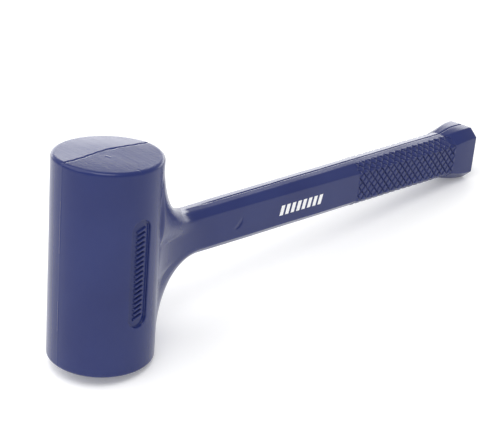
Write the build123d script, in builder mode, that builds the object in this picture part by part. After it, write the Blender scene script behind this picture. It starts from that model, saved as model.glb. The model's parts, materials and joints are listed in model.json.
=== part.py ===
"""Dead blow mallet: a one-piece urethane cover moulded over a shot-filled steel canister and a steel rod.

Units are millimetres.  Every piece is drawn in the mallet's own axes: the origin is the middle of the head,
Z runs along the head and X runs along the handle.  The finished pieces are then turned together into the way
the mallet lies on a bench, on the lower rim of the head and the lower edge of the pommel.
"""

import os
from math import asin, atan2, degrees, hypot, radians, sqrt, tan

from build123d import *

# ---------------------------------------------------------------- driving dimensions

HEAD_RADIUS = 30.0
HEAD_LENGTH = 118.0
RIM_ROUNDING = 2.0
OVERALL_LENGTH = 357.0

COVER_WALL = 5.0
STRIKE_FACE_THICKNESS = 9.5

# handle section at its two ends: crown height, top strip height and half width, side half width and height
SHAFT_START = 64.0
SHAFT_START_SECTION = dict(crown=13.8, strip=13.3, strip_half=5.1, side_half=8.1, side=9.6)
SHAFT_END = 300.0
SHAFT_END_SECTION = dict(crown=16.6, strip=15.4, strip_half=4.6, side_half=12.6, side=9.6)
POMMEL_SECTION = dict(crown=18.9, strip=18.7, strip_half=8.7, side_half=14.7, side=13.0)
POMMEL_BEVEL = 0.8
POMMEL_STATIONS = ((0.0, 300.0), (0.22, 305.0), (0.62, 313.0), (1.0, 327.0))

# the neck: one rolling fillet between the head and a rounded root that lies just inside the shaft
NECK_FILLET = 44.0
ROOT_CORNER = 7.0
ROOT_INSET = 0.4
ROOT_LENGTH = 90.0
SHAFT_BURIED_START = 46.0
SHAFT_CORNER_ROUNDING = 1.0

# moulded grip
GRIP_START = 203.0
GRIP_END = 298.0
GRIP_HEIGHT = 17.6
GROOVE_PITCH = 6.2
MAIN_GROOVE_DEPTH = 0.9
CROSS_GROOVE_DEPTH = 0.45
GROOVE_LENGTH = 26.0

# moulded panels on the sides of the head, with a row of raised bars
PANEL_HEIGHT = 62.0
PANEL_WIDTH = 12.0
PANEL_DEPTH = 1.0
PANEL_BAR_COUNT = 19
PANEL_BAR_PITCH = 2.8
PANEL_BAR_SIZE = (6.0, 1.4)
PANEL_BAR_TILT = 20.0

# mould marks
PARTING_GROOVE_WIDTH = 0.5
PARTING_GROOVE_DEPTH = 0.35
PARTING_GROOVE_START = 75.0
WITNESS_MARK_X = 92.3
WITNESS_MARK_Z = 1.4
WITNESS_MARK_RADIUS = 5.2
WITNESS_MARK_DEPTH = 0.3

# printed stripes on the handle
PRINT_START = 129.5
PRINT_LENGTH = 37.0
PRINT_Z = -0.4
PRINT_BAR_COUNT = 8
PRINT_BAR_WIDTH = 2.9
PRINT_HEIGHT = 6.3
PRINT_SLANT = 14.0
PRINT_THICKNESS = 0.15

# steel inside
CANISTER_WALL = 2.0
CAP_THICKNESS = 4.0
CAP_RECESS = 2.0
SOCKET_RADIUS = 7.0
SOCKET_END = 40.0
SOCKET_WELD_RADIUS = 11.0
SOCKET_WELD_END = 29.0
ROD_RADIUS = 5.0
ROD_START = 25.5
ROD_END = 300.0
PIN_X = 34.5
PIN_RADIUS = 1.5
PIN_HALF_LENGTH = 6.8
ANCHOR_SIZE = (4.0, 18.0, 24.0)
ANCHOR_WELD_LENGTH = 4.0
ANCHOR_WELD_RADIUS = 7.5

# loose steel shot
SHOT_RADIUS = 4.0
SHOT_GAP = 0.3
SHOT_LAYERS = 9
SHOT_ROWS = 3

# how far a cutter reaches past the surface it cuts
CUT_MARGIN = 2.0

# ---------------------------------------------------------------- worked-out dimensions

HALF_HEAD = HEAD_LENGTH / 2
POMMEL_END = OVERALL_LENGTH - HEAD_RADIUS
CANISTER_RADIUS = HEAD_RADIUS - COVER_WALL
CANISTER_BORE = CANISTER_RADIUS - CANISTER_WALL
HALF_CANISTER = HALF_HEAD - STRIKE_FACE_THICKNESS
CAP_OUTER = HALF_CANISTER - CAP_RECESS
CAP_INNER = CAP_OUTER - CAP_THICKNESS
ANCHOR_START = ROD_END - ANCHOR_SIZE[0]


def shaft_section(x):
    """Section sizes of the straight-tapered shaft at x."""
    share = (x - SHAFT_START) / (SHAFT_END - SHAFT_START)
    return {
        name: SHAFT_START_SECTION[name] + share * (SHAFT_END_SECTION[name] - SHAFT_START_SECTION[name])
        for name in SHAFT_START_SECTION
    }


def outline(section):
    """The ten corners of the handle outline, as (y, z) points."""
    half = [
        (section["strip_half"], section["strip"]),
        (section["side_half"], section["side"]),
        (section["side_half"], -section["side"]),
        (section["strip_half"], -section["strip"]),
    ]
    other_half = [(-y, z) for y, z in reversed(half)]
    return [(0, section["crown"]), *half, (0, -section["crown"]), *other_half]


def across(x):
    """Plane square to the handle at x, with its own X along Y and its own Y along Z."""
    return Plane(origin=(x, 0, 0), x_dir=(0, 1, 0), z_dir=(1, 0, 0))


# ---------------------------------------------------------------- steel canister

with BuildPart() as canister_tube:
    Cylinder(CANISTER_RADIUS, 2 * HALF_CANISTER)
    Cylinder(CANISTER_BORE, 2 * HALF_CANISTER, mode=Mode.SUBTRACT)
canister_tube.part.label = "canister_tube"

with BuildPart() as upper_cap:
    with BuildSketch(Plane.XY.offset(CAP_INNER)):
        Circle(CANISTER_BORE)
    extrude(amount=CAP_THICKNESS)
upper_cap.part.label = "upper_cap"

with BuildPart() as lower_cap:
    add(mirror(upper_cap.part, about=Plane.XY, mode=Mode.PRIVATE))
lower_cap.part.label = "lower_cap"

with BuildPart() as upper_cap_weld:
    with BuildSketch(Plane.XZ):
        with BuildLine():
            Polyline(
                (CANISTER_BORE - CAP_RECESS, CAP_OUTER),
                (CANISTER_BORE, CAP_OUTER),
                (CANISTER_BORE, HALF_CANISTER),
                close=True,
            )
        make_face()
    revolve(axis=Axis.Z)
upper_cap_weld.part.label = "upper_cap_weld"

with BuildPart() as lower_cap_weld:
    add(mirror(upper_cap_weld.part, about=Plane.XY, mode=Mode.PRIVATE))
lower_cap_weld.part.label = "lower_cap_weld"

# ---------------------------------------------------------------- rod and its socket

with BuildPart() as rod_socket:
    with BuildSketch(Plane.YZ):
        Circle(SOCKET_RADIUS)
        Circle(ROD_RADIUS, mode=Mode.SUBTRACT)
    extrude(amount=SOCKET_END)
    Cylinder(CANISTER_RADIUS, HEAD_LENGTH, mode=Mode.SUBTRACT)
    with BuildSketch(Plane.XZ):
        with Locations((PIN_X, 0)):
            Circle(PIN_RADIUS)
    extrude(amount=2 * SOCKET_RADIUS, both=True, mode=Mode.SUBTRACT)
rod_socket.part.label = "rod_socket"

with BuildPart() as socket_weld:
    with BuildSketch(Plane.XY):
        with BuildLine():
            Polyline(
                (CANISTER_RADIUS - SOCKET_RADIUS, SOCKET_RADIUS),
                (CANISTER_RADIUS - SOCKET_RADIUS, SOCKET_WELD_RADIUS),
                (CANISTER_RADIUS - CANISTER_WALL, SOCKET_WELD_RADIUS),
                (SOCKET_WELD_END, SOCKET_RADIUS),
                close=True,
            )
        make_face()
    revolve(axis=Axis.X)
    Cylinder(CANISTER_RADIUS, HEAD_LENGTH, mode=Mode.SUBTRACT)
socket_weld.part.label = "socket_weld"

with BuildPart() as handle_rod:
    with BuildSketch(Plane.YZ.offset(ROD_START)):
        Circle(ROD_RADIUS)
    extrude(amount=ROD_END - ROD_START)
    with BuildSketch(Plane.XZ):
        with Locations((PIN_X, 0)):
            Circle(PIN_RADIUS)
    extrude(amount=2 * ROD_RADIUS, both=True, mode=Mode.SUBTRACT)
handle_rod.part.label = "handle_rod"

with BuildPart() as rod_pin:
    with BuildSketch(Plane.XZ):
        with Locations((PIN_X, 0)):
            Circle(PIN_RADIUS)
    extrude(amount=PIN_HALF_LENGTH, both=True)
rod_pin.part.label = "rod_pin"

with BuildPart() as anchor_plate:
    with BuildSketch(across(ANCHOR_START)):
        Rectangle(ANCHOR_SIZE[1], ANCHOR_SIZE[2])
        Circle(ROD_RADIUS, mode=Mode.SUBTRACT)
    extrude(amount=ANCHOR_SIZE[0])
anchor_plate.part.label = "anchor_plate"

with BuildPart() as anchor_weld:
    with BuildSketch(Plane.XY):
        with BuildLine():
            Polyline(
                (ANCHOR_START - ANCHOR_WELD_LENGTH, ROD_RADIUS),
                (ANCHOR_START, ROD_RADIUS),
                (ANCHOR_START, ANCHOR_WELD_RADIUS),
                close=True,
            )
        make_face()
    revolve(axis=Axis.X)
anchor_weld.part.label = "anchor_weld"

# ---------------------------------------------------------------- loose shot, resting on the lower cap

shot_pitch = 2 * SHOT_RADIUS + SHOT_GAP
layer_step = shot_pitch * sqrt(2 / 3)
shot_reach = CANISTER_BORE - SHOT_RADIUS - SHOT_GAP
shot_floor = SHOT_RADIUS + SHOT_GAP - CAP_INNER
shot_travel = 2 * CAP_INNER - 2 * SHOT_RADIUS - 2 * SHOT_GAP - (SHOT_LAYERS - 1) * layer_step


def shot_centres(layer):
    """Centres of one hexagonal layer of shot; every second layer sits in the hollows of the one below."""
    shift = shot_pitch / sqrt(3) if layer % 2 else 0.0
    rows = range(-SHOT_ROWS, SHOT_ROWS + 1)
    for row in rows:
        for column in rows:
            x = shot_pitch * (column + row / 2)
            y = shot_pitch * row * sqrt(3) / 2 + shift
            if hypot(x, y) <= shot_reach:
                yield (x, y, shot_floor + layer * layer_step)


with BuildPart() as steel_shot:
    for layer in range(SHOT_LAYERS):
        with Locations(*shot_centres(layer)):
            Sphere(SHOT_RADIUS)
steel_shot.part.label = "steel_shot"

# ---------------------------------------------------------------- moulded cover, outside shape

with BuildPart() as shaft:
    for section_x in (SHAFT_BURIED_START, SHAFT_END):
        with BuildSketch(across(section_x)):
            Polygon(*outline(shaft_section(section_x)), align=None)
    loft(ruled=True)
    long_edges = shaft.edges().filter_by(lambda edge: edge.length > ROOT_LENGTH)
    off_crown = long_edges.filter_by(lambda edge: abs(edge.center().Y) > SHAFT_CORNER_ROUNDING)
    fillet(off_crown, SHAFT_CORNER_ROUNDING)

with BuildPart() as pommel:
    for share, section_x in POMMEL_STATIONS:
        section = {
            name: SHAFT_END_SECTION[name] + share * (POMMEL_SECTION[name] - SHAFT_END_SECTION[name])
            for name in POMMEL_SECTION
        }
        with BuildSketch(across(section_x)):
            Polygon(*outline(section), align=None)
    loft()
    chamfer(pommel.faces().sort_by(Axis.X)[-1].edges(), POMMEL_BEVEL)

# ---------------------------------------------------------------- cutters for the moulded detail

with BuildPart() as grip_grooves:
    groove_count = int((GRIP_END - GRIP_START + GROOVE_LENGTH) / GROOVE_PITCH)
    for depth, turn in ((MAIN_GROOVE_DEPTH, 135), (CROSS_GROOVE_DEPTH, 45)):
        places = []
        for index in range(groove_count):
            groove_x = GRIP_START - GROOVE_LENGTH / 2 + index * GROOVE_PITCH
            side_y = shaft_section(groove_x)["side_half"]
            places.append(Location((groove_x, side_y, 0), (0, turn, 45)))
            places.append(Location((groove_x, -side_y, 0), (0, turn, 45)))
        with Locations(*places):
            Box(depth * sqrt(2), depth * sqrt(2), GROOVE_LENGTH)
    with Locations(((GRIP_START + GRIP_END) / 2, 0, 0)):
        Box(GRIP_END - GRIP_START, HEAD_RADIUS * 2, GRIP_HEIGHT, mode=Mode.INTERSECT)

with BuildPart() as panel_recesses:
    with BuildSketch(Plane.XZ):
        SlotOverall(PANEL_HEIGHT, PANEL_WIDTH, rotation=90)
        with GridLocations(0, PANEL_BAR_PITCH, 1, PANEL_BAR_COUNT):
            Rectangle(*PANEL_BAR_SIZE, rotation=PANEL_BAR_TILT, mode=Mode.SUBTRACT)
    extrude(amount=HEAD_RADIUS + PANEL_DEPTH, both=True)
    Cylinder(HEAD_RADIUS - PANEL_DEPTH, HEAD_LENGTH, mode=Mode.SUBTRACT)

with BuildPart() as parting_grooves:
    with BuildSketch(Plane.XZ):
        Rectangle(2 * (HEAD_RADIUS + CUT_MARGIN), HEAD_LENGTH + 2 * CUT_MARGIN)
        Rectangle(
            2 * (HEAD_RADIUS - PARTING_GROOVE_DEPTH),
            HEAD_LENGTH - 2 * PARTING_GROOVE_DEPTH,
            mode=Mode.SUBTRACT,
        )
        with Locations((HEAD_RADIUS, 0)):
            Rectangle(2 * CUT_MARGIN, HEAD_LENGTH + 2 * CUT_MARGIN, mode=Mode.SUBTRACT)
        for side in (1, -1):
            start_z = shaft_section(PARTING_GROOVE_START)["crown"] * side
            end_z = shaft_section(SHAFT_END)["crown"] * side
            Polygon(
                (PARTING_GROOVE_START, start_z - side * PARTING_GROOVE_DEPTH),
                (SHAFT_END, end_z - side * PARTING_GROOVE_DEPTH),
                (SHAFT_END, end_z + side),
                (PARTING_GROOVE_START, start_z + side),
                align=None,
            )
    extrude(amount=PARTING_GROOVE_WIDTH / 2, both=True)

# ---------------------------------------------------------------- moulded cover

with BuildPart() as cover:
    Cylinder(HEAD_RADIUS, HEAD_LENGTH, rotation=(0, 0, 180))
    with BuildSketch(Plane.YZ):
        RectangleRounded(
            2 * (SHAFT_START_SECTION["side_half"] - ROOT_INSET),
            2 * (SHAFT_START_SECTION["crown"] - ROOT_INSET),
            ROOT_CORNER,
        )
    extrude(amount=ROOT_LENGTH)
    root_line = [
        edge
        for edge in cover.edges()
        if edge.center().X > 0
        and edge.bounding_box().max.X < HEAD_RADIUS + RIM_ROUNDING
        and edge.length < HEAD_RADIUS
    ]
    fillet(root_line, NECK_FILLET)
    rims = cover.edges().filter_by(GeomType.CIRCLE).filter_by(lambda edge: edge.length > HEAD_LENGTH)
    fillet(rims, RIM_ROUNDING)
    add(shaft.part)
    add(pommel.part)
    add(grip_grooves.part, mode=Mode.SUBTRACT)
    add(panel_recesses.part, mode=Mode.SUBTRACT)
    add(parting_grooves.part, mode=Mode.SUBTRACT)

    # witness mark of an ejector pin on the near side of the neck
    mark_y = shaft_section(WITNESS_MARK_X)["side_half"]
    with BuildSketch(Plane.XZ.offset(mark_y - WITNESS_MARK_DEPTH)):
        with Locations((WITNESS_MARK_X, WITNESS_MARK_Z)):
            Circle(WITNESS_MARK_RADIUS)
    extrude(amount=CUT_MARGIN, mode=Mode.SUBTRACT)

    # the space that the canister fills; the cover flows into the recess over each cap
    Cylinder(CANISTER_RADIUS, 2 * HALF_CANISTER, mode=Mode.SUBTRACT)
    with BuildSketch(Plane.XZ):
        with BuildLine():
            Polyline(
                (0, CAP_OUTER),
                (CANISTER_BORE - CAP_RECESS, CAP_OUTER),
                (CANISTER_BORE, HALF_CANISTER),
                (0, HALF_CANISTER),
                close=True,
            )
        make_face()
        mirror(about=Plane.XY)
    revolve(axis=Axis.Z)

    # the spaces that the rod, its socket, its welds and its anchor fill
    with BuildSketch(Plane.YZ):
        Circle(SOCKET_RADIUS)
    extrude(amount=SOCKET_END, mode=Mode.SUBTRACT)
    with BuildSketch(Plane.YZ):
        Circle(ROD_RADIUS)
    extrude(amount=ROD_END, mode=Mode.SUBTRACT)
    add(socket_weld.part, mode=Mode.SUBTRACT)
    add(anchor_plate.part, mode=Mode.SUBTRACT)
    add(anchor_weld.part, mode=Mode.SUBTRACT)
cover.part.label = "cover"

# ---------------------------------------------------------------- printed stripes

print_slope = (SHAFT_END_SECTION["side_half"] - SHAFT_START_SECTION["side_half"]) / (SHAFT_END - SHAFT_START)
print_face = Plane(
    origin=(PRINT_START, -shaft_section(PRINT_START)["side_half"], PRINT_Z),
    x_dir=(1, -print_slope, 0),
    z_dir=(-print_slope, -1, 0),
)
print_lean = PRINT_HEIGHT * tan(radians(PRINT_SLANT)) / 2
print_pitch = (PRINT_LENGTH - PRINT_BAR_WIDTH) / (PRINT_BAR_COUNT - 1)
with BuildPart() as printed_mark:
    with BuildSketch(print_face):
        for index in range(PRINT_BAR_COUNT):
            bar_x = index * print_pitch
            Polygon(
                (bar_x - print_lean, -PRINT_HEIGHT / 2),
                (bar_x - print_lean + PRINT_BAR_WIDTH, -PRINT_HEIGHT / 2),
                (bar_x + print_lean + PRINT_BAR_WIDTH, PRINT_HEIGHT / 2),
                (bar_x + print_lean, PRINT_HEIGHT / 2),
                align=None,
            )
    extrude(amount=PRINT_THICKNESS)
printed_mark.part.label = "printed_mark"

# ---------------------------------------------------------------- resting pose and export

pommel_low = (POMMEL_END, -POMMEL_SECTION["crown"])
rim_centre = (HEAD_RADIUS - RIM_ROUNDING, RIM_ROUNDING - HALF_HEAD)
reach = pommel_low[0] - rim_centre[0]
drop = pommel_low[1] - rim_centre[1]
tilt = atan2(drop, reach) + asin(RIM_ROUNDING / hypot(reach, drop))
lying_box = cover.part.moved(Location((0, 0, 0), (0, degrees(tilt), 0))).bounding_box()
resting = Location((-lying_box.center().X, 0, -lying_box.min.Z), (0, degrees(tilt), 0))
print("resting place of the head centre", resting.position, "turned", round(degrees(tilt), 3), "degrees")
print("size lying down", lying_box.size)
print("shot travel", round(shot_travel, 3))

os.makedirs("parts", exist_ok=True)
pieces = (
    cover,
    printed_mark,
    canister_tube,
    upper_cap,
    lower_cap,
    upper_cap_weld,
    lower_cap_weld,
    rod_socket,
    socket_weld,
    handle_rod,
    rod_pin,
    anchor_plate,
    anchor_weld,
    steel_shot,
)
for piece in pieces:
    piece.part.move(resting)
    export_step(piece.part, f"parts/{piece.part.label}.step")
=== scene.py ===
"""Dead blow mallet: the looks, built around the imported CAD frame.

The moulded urethane cover is one skin, meshed from a distance field in the mallet's own axes (millimetres):
x along the handle from the middle of the head, y across, z along the head.  The steel inside and the printed
stripes are the CAD nodes themselves, with their own materials.
"""

import json

import bpy
import numpy as np
import openvdb
from mathutils import Matrix, Vector


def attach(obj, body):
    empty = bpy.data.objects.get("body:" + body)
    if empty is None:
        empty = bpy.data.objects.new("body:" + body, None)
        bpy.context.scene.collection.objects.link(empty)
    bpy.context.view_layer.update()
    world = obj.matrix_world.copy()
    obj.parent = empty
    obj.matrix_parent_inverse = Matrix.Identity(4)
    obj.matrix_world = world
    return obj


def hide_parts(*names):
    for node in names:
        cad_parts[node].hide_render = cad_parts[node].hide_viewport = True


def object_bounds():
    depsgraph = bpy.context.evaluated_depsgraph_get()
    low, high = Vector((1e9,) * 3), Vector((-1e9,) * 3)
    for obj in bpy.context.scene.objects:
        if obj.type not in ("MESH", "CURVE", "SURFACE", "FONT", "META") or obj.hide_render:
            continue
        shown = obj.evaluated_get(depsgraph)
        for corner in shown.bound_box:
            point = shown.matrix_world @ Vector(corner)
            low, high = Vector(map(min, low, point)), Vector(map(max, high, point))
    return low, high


MM = 0.001

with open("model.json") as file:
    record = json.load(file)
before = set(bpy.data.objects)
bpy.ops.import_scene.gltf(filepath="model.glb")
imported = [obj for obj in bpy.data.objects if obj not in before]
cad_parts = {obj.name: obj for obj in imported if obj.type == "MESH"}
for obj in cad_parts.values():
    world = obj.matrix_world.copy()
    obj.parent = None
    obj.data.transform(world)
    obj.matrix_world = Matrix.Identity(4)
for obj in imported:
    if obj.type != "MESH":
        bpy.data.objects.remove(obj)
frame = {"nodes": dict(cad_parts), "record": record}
cad_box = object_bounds()

# ---------------------------------------------------------------- the mallet's own axes, from the record

mounts = {mount["name"]: mount for mount in frame["record"]["mounts"]}
upper_face = Vector(mounts["upper_strike_face"]["pos_m"])
lower_face = Vector(mounts["lower_strike_face"]["pos_m"])
pommel_face = Vector(mounts["pommel_end"]["pos_m"])
head_axis = Vector(mounts["upper_strike_face"]["axis"]).normalized()
handle_axis = Vector(mounts["pommel_end"]["axis"]).normalized()
across_axis = head_axis.cross(handle_axis)
head_centre = (upper_face + lower_face) / 2
head_centre.y = 0.0
HALF_HEAD = (upper_face - lower_face).length / 2 / MM
POMMEL_END = (pommel_face - head_centre).length / MM
HEAD_RADIUS = (cad_box[1][1] - cad_box[0][1]) / 2 / MM

# ---------------------------------------------------------------- sizes of the skin, millimetres
# A span is the pair of values between which something fades in.

RIM_ROUNDING = 2.0
EDGE_SPAN = (-0.2, 0.2)

# handle section: half heights of the crown, of the strip's edges and of the flat side, and their half widths
SHAFT_START = 64.0
SHAFT_END = 300.0
NECK_END = 70.0
START_SECTION = dict(crown=13.8, strip=13.3, strip_half=5.1, side_half=8.1, side=9.6)
END_SECTION = dict(crown=16.1, strip=15.5, strip_half=4.6, side_half=12.6, side=9.6)
POMMEL_SECTION = dict(crown=18.9, strip=18.7, strip_half=8.7, side_half=14.7, side=13.0)
POMMEL_FLARE_START = 300.5
CORNER_ROUNDING = 1.2
NECK_EXTRA_ROUNDING = 3.0
NECK_ROUNDING_SPAN = (56.0, 84.0)
POMMEL_END_ROUNDING = 1.2

# the fillet between head and handle: its two half axes at the side of the handle, above it and below it, and
# the spans of lean (sine of the angle above or below level) over which the upper and lower values come in
NECK_ALONG_HANDLE = (40.0, 29.4, 35.6)
NECK_ALONG_HEAD = (15.0, 44.2, 36.2)
UPPER_LEAN_SPAN = (0.3, 0.95)
LOWER_LEAN_SPAN = (0.6, 0.98)
NECK_FADE = 1.2
NECK_FADE_LENGTH = 12.0
FILLET_MIN_SLOPE = 0.005
TINY = 0.001

# the handle starts inside the head, and fades towards the head's axis so that the fillet stays on its side
HANDLE_ROOT = 5.0
ROOT_FADE = 40.0
ROOT_FADE_SPAN = (6.0, 20.0)

# diamond knurl
GRIP_START = 202.0
GRIP_END = 305.0
GRIP_START_FADE = 0.4
GRIP_END_FADE = 1.6
GRIP_STRIP_SPAN = (-0.4, 0.8)
GROOVE_PITCH = 6.2
GROOVE_HALF_WIDTH = 0.8
MAIN_GROOVE_DEPTH = 1.2
CROSS_GROOVE_DEPTH = 0.7
GRIP_PROUD = 0.3
GRIP_MARGIN = 2.0

# the grooves are shallow on the chamfers over the corners of the anchor plate
SHALLOW_X = 298.0
SHALLOW_X_REACH = 5.5
SHALLOW_SLOPE = 4.3
SHALLOW_SLOPE_REACH = 4.0
SHALLOW_FADE = 1.2

# recessed panel with its raised bars, on both sides of the head
PANEL_HALF_HEIGHT = 31.0
PANEL_HALF_WIDTH = 6.0
PANEL_DEPTH = 1.5
PANEL_ZONE = (9.0, 20.0, 36.0)
BAR_PITCH = 2.8
BAR_COUNT = 19
BAR_HALF_SIZE = (3.0, 0.7)
BAR_HEIGHT = 1.25
BAR_TILT = np.radians(20.0)

# parting line: the middle of its bow across a strike face, the bow's width and height, its drift and ripples
BOW_X = 2.0
BOW_WIDTH = 15.0
BOW_HEIGHT = 3.6
DRIFT = 1.3
DRIFT_SPAN = (0.0, 24.0)
FINE_RIPPLES = ((0.18, 0.9, 0.0), (0.12, 2.3, 1.0))

# crease along it, wider in one place, and the fine seam down the head opposite the handle
CREASE_DEPTH = 0.55
CREASE_WIDTH = 0.4
CREASE_EXTRA_WIDTH = 0.3
CREASE_WIDE_X = 5.0
CREASE_WIDE_REACH = 3.0
CREASE_SPAN = (HALF_HEAD - 1.2, HALF_HEAD - 0.6)
SEAM_HEIGHT = 0.2
SEAM_WIDTH = 0.25
SEAM_X_SPAN = (20.0, 24.0)
SEAM_END_SPAN = (0.5, 2.0)

# upper strike face: how much it falls towards its rim and away from the parting line, which it meets above
# HALF_HEAD, and its scuffs as (start, end, width, height), where a negative height is a nick
FACE_CROWN = 0.2
FACE_DRAFT = 0.024
ROOF_LEVEL = 11.0
FACE_SCUFFS = (
    ((-4.4, -2.7), (-3.7, -6.7), 0.3, 0.16),
    ((-4.0, -5.2), (-1.6, -6.0), 0.25, 0.12),
    ((-26.9, -14.4), (-25.2, -17.1), 0.4, -0.3),
    ((-2.2, -27.0), (-2.0, -29.8), 0.35, -0.25),
)
SCUFF_SPAN = (HALF_HEAD - 3.0, HALF_HEAD - 1.0)

# parting groove along the top and bottom of the handle, which wanders on the pommel
GROOVE_DEPTH = 0.6
GROOVE_WIDTH = 0.42
GROOVE_RISE_SPAN = (9.0, 11.0)
GROOVE_START_SPAN = (66.0, 84.0)
GROOVE_WANDER = 0.9
GROOVE_WANDER_RATE = 0.16

# round mark of an ejector pin on the near side: a tilted disc that cuts in at one edge
WITNESS_CENTRE = (92.3, 1.4)
WITNESS_RADIUS = 5.2
WITNESS_EDGE_SPAN = (-0.2, 0.25)
WITNESS_SLOPE = 0.15
WITNESS_LIFT = 0.38

# slight unevenness of the whole moulding
WAVE_HEIGHT = 0.06

# meshing: away from the head, only blocks within HANDLE_ZONE of the handle's axis are looked at
VOXEL = 0.42
BLOCK = 10
BAND = 1.3
FIELD_MARGIN = 4.0
FAR = 99.0
HEAD_ZONE_END = 82.0
HANDLE_ZONE = (22.0, 26.0)
BLOCK_REACH = 0.9
BATCHES = 24
SETTLE_ROUNDS = 3
GRADIENT_STEP = 0.04
MIN_SLOPE_SQUARED = 0.25
LONGEST_MOVE = 0.3
SHORTEST_MOVE = 1e-9


# ---------------------------------------------------------------- distance field helpers


def smooth_step(value, low, high):
    """0 below low, 1 above high, with an S curve between."""
    share = np.clip((value - low) / (high - low), 0.0, 1.0)
    return share * share * (3.0 - 2.0 * share)


def smooth_max(first, second, blend):
    """Larger of two distances, with the corner rounded over the blend width."""
    overlap = np.maximum(blend - np.abs(first - second), 0.0) / blend
    return np.maximum(first, second) + overlap * overlap * blend / 4.0


def section_sizes(x):
    """Handle section sizes at x: constant in the neck, changing along the shaft, flaring at the pommel."""
    along = (np.maximum(x, NECK_END) - SHAFT_START) / (SHAFT_END - SHAFT_START)
    share = np.clip((x - POMMEL_FLARE_START) / (POMMEL_END - POMMEL_FLARE_START), 0.0, 1.0)
    flare = share * (2.0 - share)
    sizes = {}
    for name, start in START_SECTION.items():
        shaft = start + along * (END_SECTION[name] - start)
        sizes[name] = shaft + flare * (POMMEL_SECTION[name] - shaft)
    sharp = smooth_step(x, *NECK_ROUNDING_SPAN)
    sizes["rounding"] = CORNER_ROUNDING + NECK_EXTRA_ROUNDING * (1.0 - sharp)
    return sizes


def inset_corners(sizes, inset):
    """Crown, shoulder and side corners of the section moved inwards by the inset, as (y, z) pairs."""
    crown_run = sizes["strip_half"]
    crown_fall = sizes["crown"] - sizes["strip"]
    crown_length = np.hypot(crown_run, crown_fall)
    crown_normal = (crown_fall / crown_length, crown_run / crown_length)
    slope_run = sizes["side_half"] - sizes["strip_half"]
    slope_fall = sizes["strip"] - sizes["side"]
    slope_length = np.hypot(slope_run, slope_fall)
    slope_normal = (slope_fall / slope_length, slope_run / slope_length)
    crown_offset = crown_normal[1] * sizes["crown"] - inset
    slope_offset = slope_normal[0] * sizes["side_half"] + slope_normal[1] * sizes["side"] - inset
    turn = crown_normal[0] * slope_normal[1] - crown_normal[1] * slope_normal[0]
    shoulder_y = (crown_offset * slope_normal[1] - slope_offset * crown_normal[1]) / turn
    shoulder_z = (crown_normal[0] * slope_offset - slope_normal[0] * crown_offset) / turn
    side_y = sizes["side_half"] - inset
    side_z = (slope_offset - slope_normal[0] * side_y) / slope_normal[1]
    return (0.0 * side_y, crown_offset / crown_normal[1]), (shoulder_y, shoulder_z), (side_y, side_z)


def segment_distance(a, b, start, end):
    """Distance from (a, b) to a segment, and which side of its line that is (positive on its left)."""
    run_a = end[0] - start[0]
    run_b = end[1] - start[1]
    share = ((a - start[0]) * run_a + (b - start[1]) * run_b) / (run_a * run_a + run_b * run_b)
    share = np.clip(share, 0.0, 1.0)
    distance = np.hypot(a - start[0] - share * run_a, b - start[1] - share * run_b)
    left = run_a * (b - start[1]) - run_b * (a - start[0])
    return distance, left


def section_distance(y, z, sizes):
    """Signed distance to the rounded handle section."""
    crown, shoulder, side = inset_corners(sizes, sizes["rounding"])
    low_side = (side[0], -side[1])
    nearest = np.full_like(y, FAR)
    is_out = np.zeros(len(y), bool)
    for start, end in ((crown, shoulder), (shoulder, side), (side, low_side)):
        distance, left = segment_distance(np.abs(y), np.abs(z), start, end)
        nearest = np.minimum(nearest, distance)
        is_out |= left > 0
    return np.where(is_out, nearest, -nearest) - sizes["rounding"]


# ---------------------------------------------------------------- the neck between head and handle


def by_side(values, up, low):
    """Blend of a (side, upper, lower) set of values by how far a point lies above or below the handle."""
    side, upper, lower = values
    return side + up * (upper - side) + low * (lower - side)


def neck_union(head, handle, y, z):
    """Distance to head and handle joined by a hollow elliptical fillet."""
    lean = z / np.hypot(y, np.abs(z) + TINY)
    up = smooth_step(lean, *UPPER_LEAN_SPAN)
    low = smooth_step(-lean, *LOWER_LEAN_SPAN)
    along_handle = by_side(NECK_ALONG_HANDLE, up, low)
    along_head = by_side(NECK_ALONG_HEAD, up, low)
    from_head = head + NECK_FADE * smooth_step(np.abs(z), HALF_HEAD - NECK_FADE_LENGTH, HALF_HEAD)
    near_head = np.maximum(1.0 - from_head / along_handle, 0.0)
    near_handle = np.maximum(1.0 - handle / along_head, 0.0)
    reach = np.maximum(np.hypot(near_head, near_handle), TINY)
    slope = np.hypot(near_head / along_handle, near_handle / along_head) / reach
    fillet = (1.0 - reach) / np.maximum(slope, FILLET_MIN_SLOPE)
    plain = np.minimum(head, handle)
    in_corner = (near_head > 0) & (near_handle > 0)
    return np.where(in_corner, np.minimum(fillet, plain), plain)


# ---------------------------------------------------------------- moulded detail, as depths below the surface


def bell(offset, width):
    """1 where the offset is zero, falling to nothing within a few widths."""
    return np.exp(-((offset / width) ** 2))


def parting_line(x):
    """How far the parting line wanders from the middle plane across a strike face."""
    line = BOW_HEIGHT * bell(x - BOW_X, BOW_WIDTH) + DRIFT * smooth_step(x, *DRIFT_SPAN)
    for height, rate, phase in FINE_RIPPLES:
        line += height * np.sin(x * rate + phase)
    return line


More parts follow.
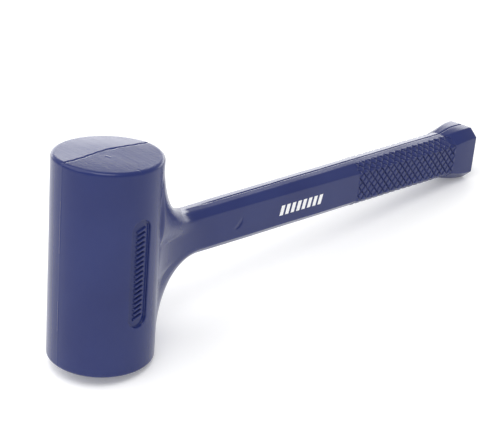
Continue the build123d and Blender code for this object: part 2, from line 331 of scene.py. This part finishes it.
def panel_detail(x, z):
    """Depth of a recessed panel with round ends and a row of raised slanted bars."""
    past_straight = np.maximum(np.abs(z) - (PANEL_HALF_HEIGHT - PANEL_HALF_WIDTH), 0.0)
    outline = np.hypot(x, past_straight) - PANEL_HALF_WIDTH
    recess = PANEL_DEPTH * smooth_step(-outline, *EDGE_SPAN)
    bar_index = np.clip(np.round(z / BAR_PITCH), -(BAR_COUNT // 2), BAR_COUNT // 2)
    from_bar = z - bar_index * BAR_PITCH
    along_bar = x * np.cos(BAR_TILT) + from_bar * np.sin(BAR_TILT)
    across_bar = -x * np.sin(BAR_TILT) + from_bar * np.cos(BAR_TILT)
    bar = np.maximum(np.abs(along_bar) - BAR_HALF_SIZE[0], np.abs(across_bar) - BAR_HALF_SIZE[1])
    raised = BAR_HEIGHT * smooth_step(-bar, *EDGE_SPAN)
    return recess - raised * (outline < 0)


def head_detail(x, y, z):
    """Depth of the marks moulded in the head: panels, parting crease, seam and scuffs."""
    depth = np.zeros_like(x)
    on_panel = (np.abs(x) < PANEL_ZONE[0]) & (np.abs(y) > PANEL_ZONE[1]) & (np.abs(z) < PANEL_ZONE[2])
    if on_panel.any():
        depth[on_panel] = panel_detail(x[on_panel], z[on_panel])
    crease_width = CREASE_WIDTH + CREASE_EXTRA_WIDTH * bell(x - CREASE_WIDE_X, CREASE_WIDE_REACH)
    crease = bell(y - parting_line(x) * np.sign(z), crease_width)
    depth += CREASE_DEPTH * crease * smooth_step(np.abs(z), *CREASE_SPAN)
    seam = bell(y, SEAM_WIDTH) * smooth_step(-x, *SEAM_X_SPAN)
    depth -= SEAM_HEIGHT * seam * smooth_step(HALF_HEAD - np.abs(z), *SEAM_END_SPAN)
    for start, end, width, height in FACE_SCUFFS:
        from_scuff, _ = segment_distance(x, y, start, end)
        depth -= height * bell(from_scuff, width) * smooth_step(z, *SCUFF_SPAN)
    return depth


def grip_detail(x, y, z, sizes):
    """Depth of the knurl, which wraps round the section but leaves the top and bottom strips smooth."""
    rise = np.abs(z)
    up_slope = np.hypot(rise - sizes["side"], sizes["side_half"] - np.abs(y))
    wrapped = np.where(rise > sizes["side"], sizes["side"] + up_slope, rise) * np.sign(z)
    slope_length = np.hypot(sizes["side_half"] - sizes["strip_half"], sizes["strip"] - sizes["side"])
    below_strip = sizes["side"] + slope_length - np.abs(wrapped)
    within = smooth_step(x, GRIP_START - GRIP_START_FADE, GRIP_START + GRIP_START_FADE)
    within = within * smooth_step(GRIP_END - x, 0.0, GRIP_END_FADE)
    within = within * smooth_step(below_strip, *GRIP_STRIP_SPAN)
    over_plate = bell(x - SHALLOW_X, SHALLOW_X_REACH) * bell(up_slope - SHALLOW_SLOPE, SHALLOW_SLOPE_REACH)
    keep = 1.0 - over_plate * smooth_step(rise - sizes["side"], 0.0, SHALLOW_FADE)
    spacing = GROOVE_PITCH / np.sqrt(2.0)
    depth = np.full_like(x, -GRIP_PROUD)
    for way, groove_depth in ((1.0, MAIN_GROOVE_DEPTH), (-1.0, CROSS_GROOVE_DEPTH)):
        along = (x - GRIP_START + way * wrapped) / np.sqrt(2.0)
        from_groove = np.abs(along - np.round(along / spacing) * spacing)
        groove = groove_depth * keep * (1.0 - smooth_step(from_groove, 0.0, GROOVE_HALF_WIDTH))
        depth = np.maximum(depth, groove - GRIP_PROUD)
    return depth * within


def handle_detail(x, y, z, sizes):
    """Depth of the marks moulded in the handle: knurl, parting groove and witness mark."""
    depth = np.zeros_like(x)
    gripped = (x > GRIP_START - GRIP_MARGIN) & (x < GRIP_END + GRIP_MARGIN)
    if gripped.any():
        picked = {name: value[gripped] for name, value in sizes.items()}
        depth[gripped] = grip_detail(x[gripped], y[gripped], z[gripped], picked)
    wander = GROOVE_WANDER * np.sin((x - POMMEL_FLARE_START) * GROOVE_WANDER_RATE)
    line = wander * smooth_step(x, POMMEL_FLARE_START, POMMEL_END)
    on_strip = smooth_step(np.abs(z), *GROOVE_RISE_SPAN) * smooth_step(x, *GROOVE_START_SPAN)
    depth += GROOVE_DEPTH * bell(y - line, GROOVE_WIDTH) * on_strip
    mark_x = x - WITNESS_CENTRE[0]
    mark_z = z - WITNESS_CENTRE[1]
    mark = smooth_step(WITNESS_RADIUS - np.hypot(mark_x, mark_z), *WITNESS_EDGE_SPAN) * (y < 0)
    depth += mark * np.maximum(WITNESS_SLOPE * (mark_x - mark_z) - WITNESS_LIFT, 0.0)
    return depth


def head_distance(x, y, z):
    """Signed distance to the head: a cylinder with round rims, whose upper face falls away a little."""
    past_wall = np.hypot(x, y) - HEAD_RADIUS + RIM_ROUNDING
    fall = FACE_DRAFT * (np.abs(y - parting_line(x)) - ROOF_LEVEL)
    fall = fall + FACE_CROWN * (x * x + y * y) / HEAD_RADIUS**2
    past_end = np.abs(z) - HALF_HEAD + RIM_ROUNDING + fall * (z > 0)
    outside = np.hypot(np.maximum(past_wall, 0.0), np.maximum(past_end, 0.0))
    inside = np.minimum(np.maximum(past_wall, past_end), 0.0)
    return outside + inside - RIM_ROUNDING + head_detail(x, y, z)


def handle_distance(x, y, z):
    """Signed distance to the handle with its grip and pommel."""
    sizes = section_sizes(x)
    handle = section_distance(y, z, sizes) + handle_detail(x, y, z, sizes)
    handle = smooth_max(handle, x - POMMEL_END, POMMEL_END_ROUNDING)
    return np.maximum(handle, HANDLE_ROOT - x) + ROOT_FADE * (1.0 - smooth_step(x, *ROOT_FADE_SPAN))


def cover_distance(points):
    """Signed distance to the outside of the moulded cover."""
    x, y, z = points.T
    whole = neck_union(head_distance(x, y, z), handle_distance(x, y, z), y, z)
    return whole + WAVE_HEIGHT * np.sin(x * 0.11 + z * 0.07) * np.cos(y * 0.13 - z * 0.05 + 1.0)


# ---------------------------------------------------------------- meshing the field


def index_grid(counts):
    """Every (i, j, k) below the counts, as rows."""
    ranges = [np.arange(count) for count in counts]
    return np.stack(np.meshgrid(*ranges, indexing="ij"), -1).reshape(-1, 3)


def mesh_field():
    """Points (millimetres), triangles and quads of the surface where the cover's distance is zero.

    The space is cut into blocks.  Blocks well inside are filled, blocks near the surface are sampled voxel by
    voxel, and the rest stay empty.
    """
    low = np.array([-HEAD_RADIUS, -HEAD_RADIUS, -HALF_HEAD]) - FIELD_MARGIN
    high = np.array([POMMEL_END, HEAD_RADIUS, HALF_HEAD]) + FIELD_MARGIN
    size = BLOCK * VOXEL
    blocks = index_grid(np.ceil((high - low) / size).astype(int))
    middles = low + (blocks + 0.5) * size
    off_handle = (np.abs(middles[:, 1]) > HANDLE_ZONE[0]) | (np.abs(middles[:, 2]) > HANDLE_ZONE[1])
    empty = (middles[:, 0] > HEAD_ZONE_END) & off_handle
    rough = np.full(len(blocks), FAR)
    rough[~empty] = cover_distance(middles[~empty])
    near = np.abs(rough) < size * BLOCK_REACH + BAND
    grid = openvdb.FloatGrid(BAND)
    for first in blocks[(rough < 0) & ~near] * BLOCK:
        last = first + BLOCK - 1
        grid.fill(tuple(first.tolist()), tuple(last.tolist()), -BAND, False)
    offsets = index_grid((BLOCK, BLOCK, BLOCK))
    for batch in np.array_split(blocks[near] * BLOCK, BATCHES):
        cells = (batch[:, None, :] + offsets[None]).reshape(-1, 3)
        values = np.clip(cover_distance(low + cells * VOXEL), -BAND, BAND).astype(np.float32)
        values = values.reshape(len(batch), BLOCK, BLOCK, BLOCK)
        for first, block in zip(batch, values):
            grid.copyFromArray(np.ascontiguousarray(block), ijk=tuple(first.tolist()))
    points, triangles, quads = grid.convertToPolygons(isovalue=0.0, adaptivity=0.0)
    return low + np.asarray(points, float) * VOXEL, triangles, quads


def field_gradient(points):
    """Slope of the cover's distance at the points."""
    slope = np.empty_like(points)
    for axis in range(3):
        nudge = np.zeros(3)
        nudge[axis] = GRADIENT_STEP
        rise = cover_distance(points + nudge) - cover_distance(points - nudge)
        slope[:, axis] = rise / (2 * GRADIENT_STEP)
    return slope


def settle(points):
    """Move points onto the surface along the field's gradient, a limited step at a time."""
    for _ in range(SETTLE_ROUNDS):
        slope = field_gradient(points)
        slope_squared = np.maximum((slope * slope).sum(1), MIN_SLOPE_SQUARED)
        move = slope * (cover_distance(points) / slope_squared)[:, None]
        length = np.maximum(np.linalg.norm(move, axis=1), SHORTEST_MOVE)
        points = points - move * np.minimum(1.0, LONGEST_MOVE / length)[:, None]
    return points


def to_frame(points):
    """From the mallet's own axes in millimetres to the shared frame in metres."""
    axes = np.array([handle_axis, across_axis, head_axis])
    return points @ axes * MM + np.array(head_centre)


def place_in_scene(name, data):
    """A new object with the data, linked into the scene."""
    placed = bpy.data.objects.new(name, data)
    bpy.context.scene.collection.objects.link(placed)
    return placed


def make_cover():
    """The moulded urethane cover as one skin."""
    points, triangles, quads = mesh_field()
    mesh = bpy.data.meshes.new("cover_skin")
    mesh.from_pydata(to_frame(settle(points)).tolist(), [], quads.tolist() + triangles.tolist())
    mesh.validate()
    mesh.update()
    mesh.shade_smooth()
    return place_in_scene("cover_skin", mesh)


# ---------------------------------------------------------------- materials

URETHANE_DARK = (0.0106, 0.0195, 0.115)
URETHANE_LIGHT = (0.0155, 0.027, 0.135)
URETHANE_ROUGHNESS = (0.17, 0.27)
URETHANE_IOR = 1.42
INK_DARK = (0.88, 0.89, 0.9)
INK_LIGHT = (0.97, 0.97, 0.98)
STEEL_TINT = (0.75, 0.74, 0.72)


class Recipe:
    """A node material being built: its shader, and short ways to add noise, colour and roughness to it."""

    def __init__(self, name):
        self.material = bpy.data.materials.new(name)
        self.material.use_nodes = True
        self.tree = self.material.node_tree
        self.shader = self.tree.nodes["Principled BSDF"]

    def noise(self, scale, detail=2.0):
        """Noise in the object's own coordinates."""
        place = self.tree.nodes.new("ShaderNodeTexCoord")
        node = self.tree.nodes.new("ShaderNodeTexNoise")
        node.inputs["Scale"].default_value = scale
        node.inputs["Detail"].default_value = detail
        self.tree.links.new(place.outputs["Object"], node.inputs["Vector"])
        return node.outputs["Fac"]

    def colour(self, value, dark, light, span=(0.0, 1.0)):
        """Base colour from dark to light as the value goes through the span."""
        node = self.tree.nodes.new("ShaderNodeValToRGB")
        for element, position, tone in zip(node.color_ramp.elements, span, (dark, light)):
            element.position = position
            element.color = (*tone, 1.0)
        self.tree.links.new(value, node.inputs["Fac"])
        self.tree.links.new(node.outputs["Color"], self.shader.inputs["Base Color"])

    def roughness(self, value, low, high):
        """Roughness from low to high as the value goes from 0 to 1."""
        node = self.tree.nodes.new("ShaderNodeMapRange")
        node.inputs["To Min"].default_value = low
        node.inputs["To Max"].default_value = high
        self.tree.links.new(value, node.inputs["Value"])
        self.tree.links.new(node.outputs["Result"], self.shader.inputs["Roughness"])

    def bump(self, height, strength, distance):
        """Fine relief."""
        node = self.tree.nodes.new("ShaderNodeBump")
        node.inputs["Strength"].default_value = strength
        node.inputs["Distance"].default_value = distance
        self.tree.links.new(height, node.inputs["Height"])
        self.tree.links.new(node.outputs["Normal"], self.shader.inputs["Normal"])


def urethane():
    """Deep blue moulded urethane, half gloss, with faint mottling and fine grain."""
    recipe = Recipe("urethane")
    mottle = recipe.noise(26.0, detail=4.0)
    recipe.colour(mottle, URETHANE_DARK, URETHANE_LIGHT, span=(0.3, 0.75))
    recipe.roughness(mottle, *URETHANE_ROUGHNESS)
    recipe.bump(recipe.noise(900.0, detail=3.0), strength=0.12, distance=0.0003)
    recipe.shader.inputs["IOR"].default_value = URETHANE_IOR
    return recipe.material


def steel(name, light, roughness, grain_scale):
    """Bare steel with uneven roughness and a slight tint variation."""
    recipe = Recipe(name)
    grain = recipe.noise(grain_scale, detail=5.0)
    dark = tuple(tone * tint for tone, tint in zip(light, STEEL_TINT))
    recipe.colour(grain, dark, light)
    recipe.roughness(grain, roughness - 0.08, roughness + 0.12)
    recipe.shader.inputs["Metallic"].default_value = 1.0
    return recipe.material


def white_print():
    """White pad-printed ink, slightly uneven."""
    recipe = Recipe("print")
    recipe.colour(recipe.noise(400.0), INK_DARK, INK_LIGHT)
    recipe.shader.inputs["Roughness"].default_value = 0.5
    return recipe.material


def dress(material, *nodes):
    """Give carried-over CAD nodes a material."""
    for node in nodes:
        for slot in frame["nodes"][node].material_slots:
            slot.material = material


# ---------------------------------------------------------------- pieces

cover_skin = make_cover()
cover_skin.data.materials.append(urethane())
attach(cover_skin, "mallet")
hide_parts("cover")

canister_steel = steel("canister_steel", (0.5, 0.51, 0.52), roughness=0.35, grain_scale=60.0)
rod_steel = steel("rod_steel", (0.36, 0.36, 0.37), roughness=0.45, grain_scale=90.0)
pin_steel = steel("pin_steel", (0.22, 0.22, 0.24), roughness=0.3, grain_scale=120.0)
weld_steel = steel("weld_steel", (0.3, 0.29, 0.28), roughness=0.55, grain_scale=300.0)
shot_steel = steel("shot_steel", (0.6, 0.6, 0.62), roughness=0.22, grain_scale=200.0)
dress(white_print(), "printed_mark")
dress(canister_steel, "canister_tube", "upper_cap", "lower_cap")
dress(rod_steel, "rod_socket", "handle_rod", "anchor_plate")
dress(pin_steel, "rod_pin")
dress(weld_steel, "upper_cap_weld", "lower_cap_weld", "socket_weld", "anchor_weld")
dress(shot_steel, "steel_shot")

# ---------------------------------------------------------------- floor, light and camera

FLOOR_HALF_WIDTH = 6.0
FLOOR_COLOUR = (0.9, 0.9, 0.9, 1.0)
FLOOR_GLOW = 0.2
WORLD_STRENGTH = 0.6

# lights: name, direction from the mallet, distance, width and height, power
LIGHT_AIM = Vector((0.0, 0.0, 0.05))
LIGHTS = (
    ("key", (-0.5, 0.3, 0.8), 1.2, (1.2, 1.2), 7.0),
    ("overhead", (-0.33, -0.33, 0.88), 1.2, (0.6, 0.6), 4.5),
    ("backdrop", (0.76, 0.63, 0.15), 1.5, (3.8, 0.5), 17.0),
)

CAMERA_TURN = np.radians(-44.776)
CAMERA_LIFT = np.radians(27.618)
CAMERA_ROLL = np.radians(-0.703)
CAMERA_DISTANCE = 0.7238
CAMERA_AIM = Vector((-0.03336, 0.0, 0.04518))
CAMERA_LENS = 86.24
CAMERA_SENSOR = 36.0


def make_floor():
    """Plain pale floor that glows a little, so that shadows stay soft."""
    mesh = bpy.data.meshes.new("floor")
    signs = ((-1, -1), (1, -1), (1, 1), (-1, 1))
    corners = [(FLOOR_HALF_WIDTH * across, FLOOR_HALF_WIDTH * along, 0.0) for across, along in signs]
    mesh.from_pydata(corners, [], [(0, 1, 2, 3)])
    recipe = Recipe("floor_white")
    recipe.shader.inputs["Base Color"].default_value = FLOOR_COLOUR
    recipe.shader.inputs["Roughness"].default_value = 0.6
    recipe.shader.inputs["Emission Color"].default_value = (1.0, 1.0, 1.0, 1.0)
    recipe.shader.inputs["Emission Strength"].default_value = FLOOR_GLOW
    mesh.materials.append(recipe.material)
    place_in_scene("floor", mesh)


def make_light(name, direction, distance, size, power):
    """Soft rectangular light in a direction from the mallet, turned towards it."""
    data = bpy.data.lights.new(name, "AREA")
    data.shape = "RECTANGLE"
    data.size, data.size_y = size
    data.energy = power
    light = place_in_scene(name, data)
    light.location = LIGHT_AIM + distance * Vector(direction)
    light.rotation_euler = (-Vector(direction)).to_track_quat("-Z", "Y").to_euler()


def make_world():
    """Even pale surroundings."""
    world = bpy.data.worlds.new("studio")
    world.use_nodes = True
    background = world.node_tree.nodes["Background"]
    background.inputs["Color"].default_value = (1.0, 1.0, 1.0, 1.0)
    background.inputs["Strength"].default_value = WORLD_STRENGTH
    bpy.context.scene.world = world


def make_camera():
    """Camera at the reference view."""
    data = bpy.data.cameras.new("camera")
    data.lens = CAMERA_LENS
    data.sensor_width = CAMERA_SENSOR
    camera = place_in_scene("camera", data)
    flat = np.cos(CAMERA_LIFT)
    back = Vector((np.sin(CAMERA_TURN) * flat, -np.cos(CAMERA_TURN) * flat, np.sin(CAMERA_LIFT)))
    turn = (-back).to_track_quat("-Z", "Y").to_matrix() @ Matrix.Rotation(CAMERA_ROLL, 3, "Z")
    camera.matrix_world = Matrix.Translation(CAMERA_AIM + back * CAMERA_DISTANCE) @ turn.to_4x4()
    bpy.context.scene.camera = camera


make_floor()
make_world()
for light in LIGHTS:
    make_light(*light)
make_camera()
bpy.context.scene.view_settings.view_transform = "Standard"
